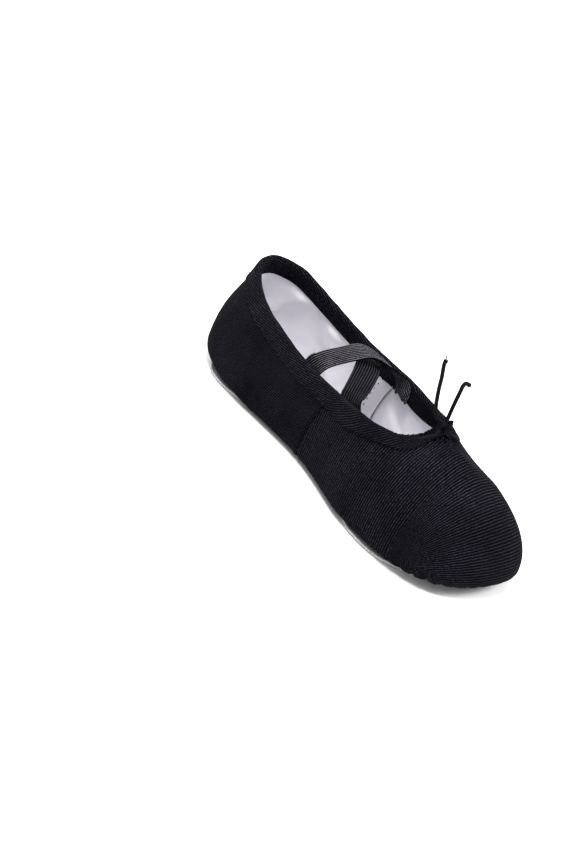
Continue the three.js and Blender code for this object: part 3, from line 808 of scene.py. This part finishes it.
for name, (right_x, left_x, crest) in STRAPS.items():
    elastic_material = woven(f"ribbed_elastic_{name}", "#010102", ELASTIC_LIT_AND_SHADED_RIDGES[name], 1.3, 90, 0.5, 0.12, 0,
                             slack=0.06, worn=0.7, sharp=5, fuzz=0.5)
    ends = [right_t(right_x), 2 - right_t(left_x)]
    sewn = [np.array([below(t, d, inset) for d, inset in STRAP_SEWN]) for t in ends]
    line = smooth_line(np.vstack([sewn[0], crest, sewn[1][::-1]]), 240)
    ahead = np.gradient(line, axis=0)
    ahead /= np.linalg.norm(ahead, axis=1)[:, None]
    edges = [skin(ends[0] + 0.02, 5) - skin(ends[0] - 0.02, 5),
             skin(ends[1] - 0.02, 5) - skin(ends[1] + 0.02, 5)]
    edges = [edge / np.linalg.norm(edge) for edge in edges]
    share = lengths(line) / lengths(line)[-1]
    turn = ramp(share, 0.1, 0.9)[:, None]
    sides = edges[0] * (1 - turn) + edges[1] * turn
    sides -= ahead * (sides * ahead).sum(1)[:, None]
    sides /= np.linalg.norm(sides, axis=1)[:, None]
    ups = np.cross(ahead, sides)
    long = lengths(line)[-1]

    def on_strap(u, across, height):
        """A point of this strap, at mm across it from its middle and mm above it."""
        centre, side, up = (np.stack([np.interp(u, share, part[:, k]) for k in range(3)], -1)
                            for part in (line, sides, ups))
        return centre + side * np.reshape(across, (-1, 1)) + up * np.reshape(height, (-1, 1))

    def strap(u, v):
        """v goes round the section: 0 to 1 over the top, and 1 to 2 back underneath."""
        across = np.where(v < 1, v, 2 - v)
        ridge = np.abs(np.sin(math.pi * STRAP_RIDGES * across)) ** 0.7
        off = np.abs(across - 0.5)
        half = (STRAP_THICK / 2 - 0.2 + 0.2 * ridge) * (0.15 + 0.85 * ramp(off, 0.5, 0.47))
        ripple = 0.25 * np.sin(u * long / 4.1 + 3 * off) * ramp(off, 0.2, 0.5)
        wide = STRAP_WIDTH * (1 - 0.45 * ramp(np.abs(u - 0.5), 0.472, 0.5))
        return on_strap(u, (across - 0.5) * wide, np.where(v < 1, half, -half) + ripple)

    piece = surface(f"elastic_{name}", strap, np.linspace(0, 1, 200), strap_section,
                    lambda u, v: (u * long, np.where(v < 1, v, 2 - v) * STRAP_WIDTH), closed=True,
                    bodies="both", material=elastic_material)
    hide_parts("strap_" + name)
    for side, start in (("right", 0.032), ("left", 0.955)):
        across = np.linspace(-5, 5, 41)
        zigzag = on_strap(start + 0.013 * np.abs(np.mod(across, 1.0) - 0.5) * 2, across, 0 * across - 0.5)
        piece = cord(f"zigzag_tack_{name}_{side}", zigzag, 0.22, 120, black_thread_material, "both",
                     segments=6)
        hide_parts(f"strap_tack_{name}_{side}")


# ---------------------------------------------------------------------------------------------------------
# Suede soles
# A patch of pale grey split suede under the ball and one under the heel. The cut edges are uneven and turn up
# a little on to the canvas, and two rows of lockstitches pull small dark holes in the nap.
SOLE_THICK = 1.4
SOLES = {
    "front": ("forefoot", [(19, 0), (24, 15), (38, 28), (57, 36), (76, 34.5), (93, 22), (100, 0)]),
    "heel": ("heel", [(-108, 0), (-104, 12.5), (-91, 24.5), (-74, 27.5), (-57, 22.5), (-47, 11), (-44, 0)]),
}
SOLE_OVER = 2.0
suede_material, tree = blank("split_suede")
cloth = add(tree, "TexCoord").outputs["UV"]
nap = add(tree, "TexNoise", {"Vector": cloth, "Scale": 1500, "Detail": 4, "Roughness": 0.75}).outputs["Fac"]
cloud = add(tree, "TexNoise", {"Vector": cloth, "Scale": 60, "Detail": 4}).outputs["Fac"]
mixed = add(tree, "Math", {0: cloud, 1: 0.5, 2: nap}, operation="MULTIPLY_ADD").outputs[0]
tone = add(tree, "MapRange", {"Value": mixed, "From Min": 0.5, "From Max": 1.0}).outputs[0]
colour = add(tree, "Mix", {"Factor": tone, "A": linear("#807f83"), "B": linear("#cccbce")}, data_type="RGBA")
bump = add(tree, "Bump", {"Height": nap, "Strength": 1.0, "Distance": 0.35 * MM})
shader = add(tree, "BsdfPrincipled", {"Base Color": colour.outputs["Result"], "Roughness": 0.95,
                                      "Normal": bump.outputs[0], "Sheen Weight": 0.3})
add(tree, "OutputMaterial", {0: shader.outputs[0]})
sole_thread_material = woven("grey_sole_thread", "#77757c", "#d5d3d8", 0.35, 60, 0.4, 0.05, 0.1, slack=0)


def cut_line(half, inset):
    """A closed outline moved in by a distance, or out if that is negative."""
    loop = loop_of(half)
    ahead = np.gradient(loop, axis=0)
    ahead[0] = ahead[-1] = loop[1] - loop[-2]
    ahead /= np.linalg.norm(ahead, axis=1)[:, None]
    return loop + np.stack([-ahead[:, 1], ahead[:, 0], 0 * ahead[:, 0]], 1) * inset


def plate(half, profile, waver=0.0):
    """place(u, v) of a flat piece cut to an outline. The profile's points, from the middle of the top over
    the edge to the middle underneath, are (distance in from the edge, share of the way to the middle, z)."""
    profile = np.array(profile, float)
    outer = np.array(half)[:, 1].max()
    low_x, high_x = half[0][0] + outer, half[-1][0] - outer

    def place(u, v):
        inset, share, z = (np.interp(v, np.arange(len(profile)), profile[:, k]) for k in range(3))
        line = cut_line(half, 0)
        deep = cut_line(half, 1) - line
        edge = along(line, u) + along(deep, u) * inset[:, None]
        if waver:
            edge += along(deep, u) * (waver * drift(along(line, u), 4.5, 21) * ramp(inset, 2.4, 0.8))[:, None]
        middle = np.stack([np.clip(edge[:, 0], low_x, high_x), 0 * z, 0 * z], 1)
        point = edge * (1 - share)[:, None] + middle * share[:, None]
        point[:, 2] = z
        return point
    return place


def flat_uv(place):
    return lambda u, v: tuple(place(u, v)[:, :2].T)


SEWN_ROWS = {"outer": 3, "inner": 5.6}
GROOVE = [(-0.7, 0), (-0.35, 0.3), (0.35, 0.3), (0.7, 0)]
sole_profile = [(3, 1, SOLE_THICK), (3, 0.5, SOLE_THICK), (3 - SOLE_OVER, 0, SOLE_THICK),
                (1.5 - SOLE_OVER, 0, SOLE_THICK + 0.15), (0.3 - SOLE_OVER, 0, SOLE_THICK + 0.5),
                (-SOLE_OVER, 0, SOLE_THICK + 0.2), (0.1 - SOLE_OVER, 0, 0.8), (0.5 - SOLE_OVER, 0, 0.4),
                (1.6 - SOLE_OVER, 0, 0.12), (1.2, 0, 0)]
sole_profile += [(row + off, 0, z) for row in SEWN_ROWS.values() for off, z in GROOVE]
sole_profile += [(6.8, 0, 0), (6.8, 0.5, 0), (6.8, 1, 0)]
around_sole = np.linspace(0, len(sole_profile) - 1, 2 * len(sole_profile) - 1)
for name, (body, half) in SOLES.items():
    place = plate(half, sole_profile, waver=0.6)
    piece = surface(name + "_suede_sole", place, np.linspace(0, 1, 361), around_sole, flat_uv(place),
                    closed=True, bodies=body, material=suede_material)
    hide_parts(name + "_sole_patch")
    for row, inset in SEWN_ROWS.items():
        line = cut_line(half, inset)
        down = np.tile([0.0, 0, -1], (len(line), 1))
        piece = stitches(f"{name}_sole_{row}_stitches", line + (0, 0, 0.28), down, 3.5, (2.5, 0.75, 0.5),
                         sole_thread_material, body, sway=0.12)
        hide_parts(f"{name}_sole_stitching_{row}")
        shifted = np.roll(line[:-1], len(line) // (2 * round(lengths(line)[-1] / 3.5)), axis=0)
        stitches(f"{name}_sole_{row}_needle_holes", shifted + (0, 0, 0.24), down[:-1], 3.5, (0.9, 0.9, 0.3),
                 hole_and_shade_material, body)


# ---------------------------------------------------------------------------------------------------------
# Insole
# Inside, over each sole, lies a pad of needled felt under a cotton sock.
felt_material, tree = blank("needled_felt")
cloth = add(tree, "TexCoord").outputs["UV"]
nap = add(tree, "TexNoise", {"Vector": cloth, "Scale": 900, "Detail": 4}).outputs["Fac"]
colour = add(tree, "Mix", {"Factor": nap, "A": linear("#b3ada2"), "B": linear("#e6e1d6")}, data_type="RGBA")
bump = add(tree, "Bump", {"Height": nap, "Strength": 1.0, "Distance": 0.3 * MM})
shader = add(tree, "BsdfPrincipled", {"Base Color": colour.outputs["Result"], "Roughness": 1.0,
                                      "Normal": bump.outputs[0]})
add(tree, "OutputMaterial", {0: shader.outputs[0]})
for name, (body, half) in SOLES.items():
    for kind, node, inset, low, high, slot, material in (
            ("felt_pad", "insole_pad", 6.4, 3.8, 5.8, "insole_felt", felt_material),
            ("cotton_sock", "sock", 5.8, 6.1, 6.7, "lining_cotton", lining_material)):
        middle = (low + high) / 2
        place = plate(half, [(inset, 1, high), (inset, 0.4, high), (inset + 1, 0, high),
                             (inset + 0.3, 0, high - 0.1), (inset, 0, middle),
                             (inset + 0.3, 0, low + 0.1), (inset + 1, 0, low),
                             (inset, 0.4, low), (inset, 1, low)])
        piece = surface(f"{name}_{kind}", place, np.linspace(0, 1, 121), np.linspace(0, 8, 25),
                        flat_uv(place), closed=True, bodies=body, material=material)
        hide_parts(f"{name}_{node}")


# ---------------------------------------------------------------------------------------------------------
# Arch seam
# Under the arch the two sides of the canvas are sewn edge to edge along the middle.
arch_x = np.linspace(-43, 19, 80)
arch_line = np.stack([arch_x, 0 * arch_x, np.full(80, 1.75)], 1)
stitches("arch_seam_stitches", arch_line, np.tile([0.0, 0, -1], (80, 1)), 2.4, (0.6, 2.6, 0.5),
         black_thread_material, "both", sway=0.25)


# ---------------------------------------------------------------------------------------------------------
# Floor and light
# A white sweep under soft studio boxes.
floor_mesh = bmesh.new()
bmesh.ops.create_grid(floor_mesh, x_segments=1, y_segments=1, size=4)
white, tree = blank("white_paper_sweep")
shader = add(tree, "BsdfPrincipled", {"Base Color": (0.92, 0.92, 0.92, 1), "Roughness": 0.5})
add(tree, "OutputMaterial", {0: shader.outputs[0]})
data = bpy.data.meshes.new("floor")
floor_mesh.to_mesh(data)
floor_mesh.free()
data.materials.append(white)
floor = bpy.data.objects.new("floor", data)
bpy.context.scene.collection.objects.link(floor)

world = bpy.data.worlds.new("studio")
bpy.context.scene.world = world
world.use_nodes = True
world.node_tree.nodes["Background"].inputs["Color"].default_value = (1, 1, 1, 1)
world.node_tree.nodes["Background"].inputs["Strength"].default_value = 0.7

for name, place, size, power in (("key", (0.2, -0.5, 1.5), 0.5, 24), ("fill", (0.9, -0.9, 0.9), 0.9, 3),
                                 ("back", (0.7, 0.9, 1.0), 0.6, 22), ("heel", (-1.2, 0.1, 0.9), 0.6, 18)):
    lamp = bpy.data.objects.new(name, bpy.data.lights.new(name, "AREA"))
    lamp.data.size, lamp.data.energy = size, power
    lamp.location = place
    lamp.rotation_euler = (-Vector(place)).to_track_quat("-Z", "Y").to_euler()
    bpy.context.scene.collection.objects.link(lamp)

bpy.context.scene.view_settings.view_transform = "Standard"
